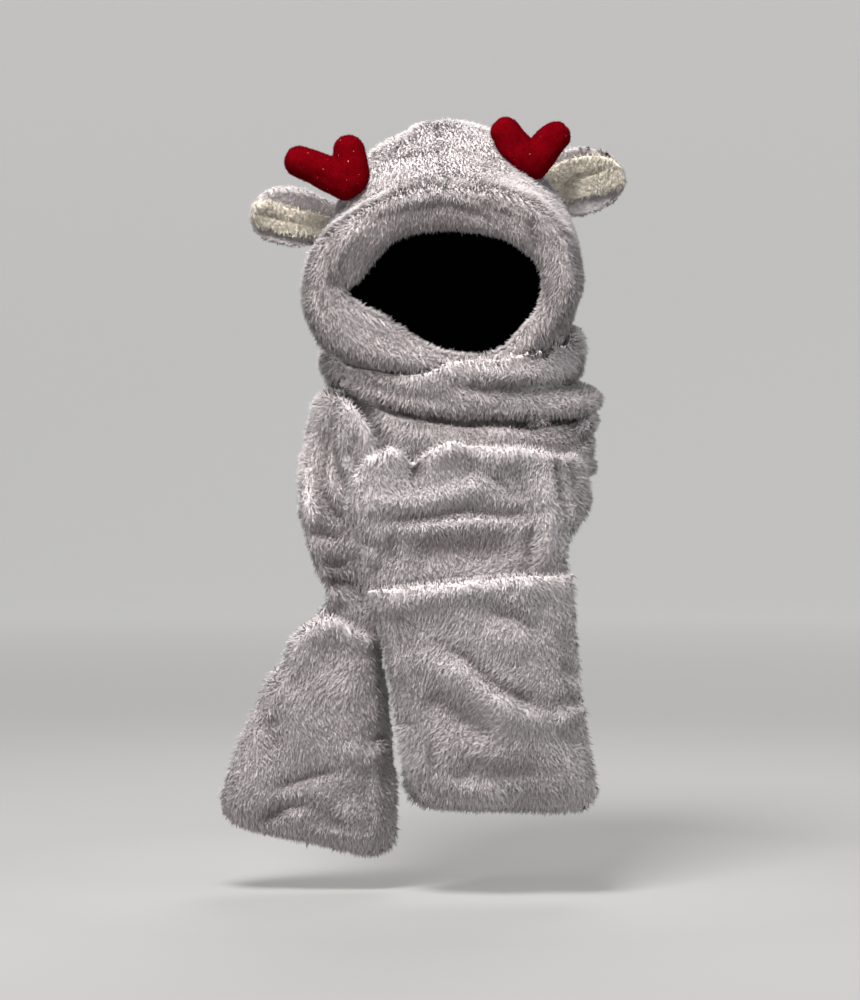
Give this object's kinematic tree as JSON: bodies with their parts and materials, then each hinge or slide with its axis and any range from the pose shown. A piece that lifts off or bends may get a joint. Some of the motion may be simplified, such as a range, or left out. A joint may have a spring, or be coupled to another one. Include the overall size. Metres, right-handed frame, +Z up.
{
  "type": "animal hood scarf",
  "caption": "Plush hood with felt antlers, lined ears and a padded face roll, whose long scarf ends wrap the neck and hang in front with a hand pocket at each end.",
  "frame": {"origin": "where the crown of a worn head meets the inside of the hood", "axes": "+Z up, -Y the way the face looks out, +X the right-hand side seen from the front, down which the upper of the two scarf ends hangs"},
  "size_m": [0.4062, 0.3418, 0.7321],
  "materials": {
    "grey_plush": "long-pile warm grey plush, tips lighter than the roots",
    "cream_plush": "short soft cream plush inside the ears",
    "red_felt": "stuffed deep red felt with a short nap",
    "dark_lining": "near-black fleece lining of the hood"
  },
  "bodies": {
    "root": {"hood_crown": "grey_plush", "hood_lining": "dark_lining", "face_rim": "grey_plush", "neck_wrap_upper": "grey_plush", "neck_wrap_lower": "grey_plush", "scarf_end_right": "grey_plush", "scarf_end_left": "grey_plush", "pocket_right": "grey_plush", "pocket_left": "grey_plush", "ear_left": "grey_plush", "ear_lining_left": "cream_plush", "ear_right": "grey_plush", "ear_lining_right": "cream_plush", "antler_left": "red_felt", "antler_right": "red_felt"}
  },
  "joints": []
}
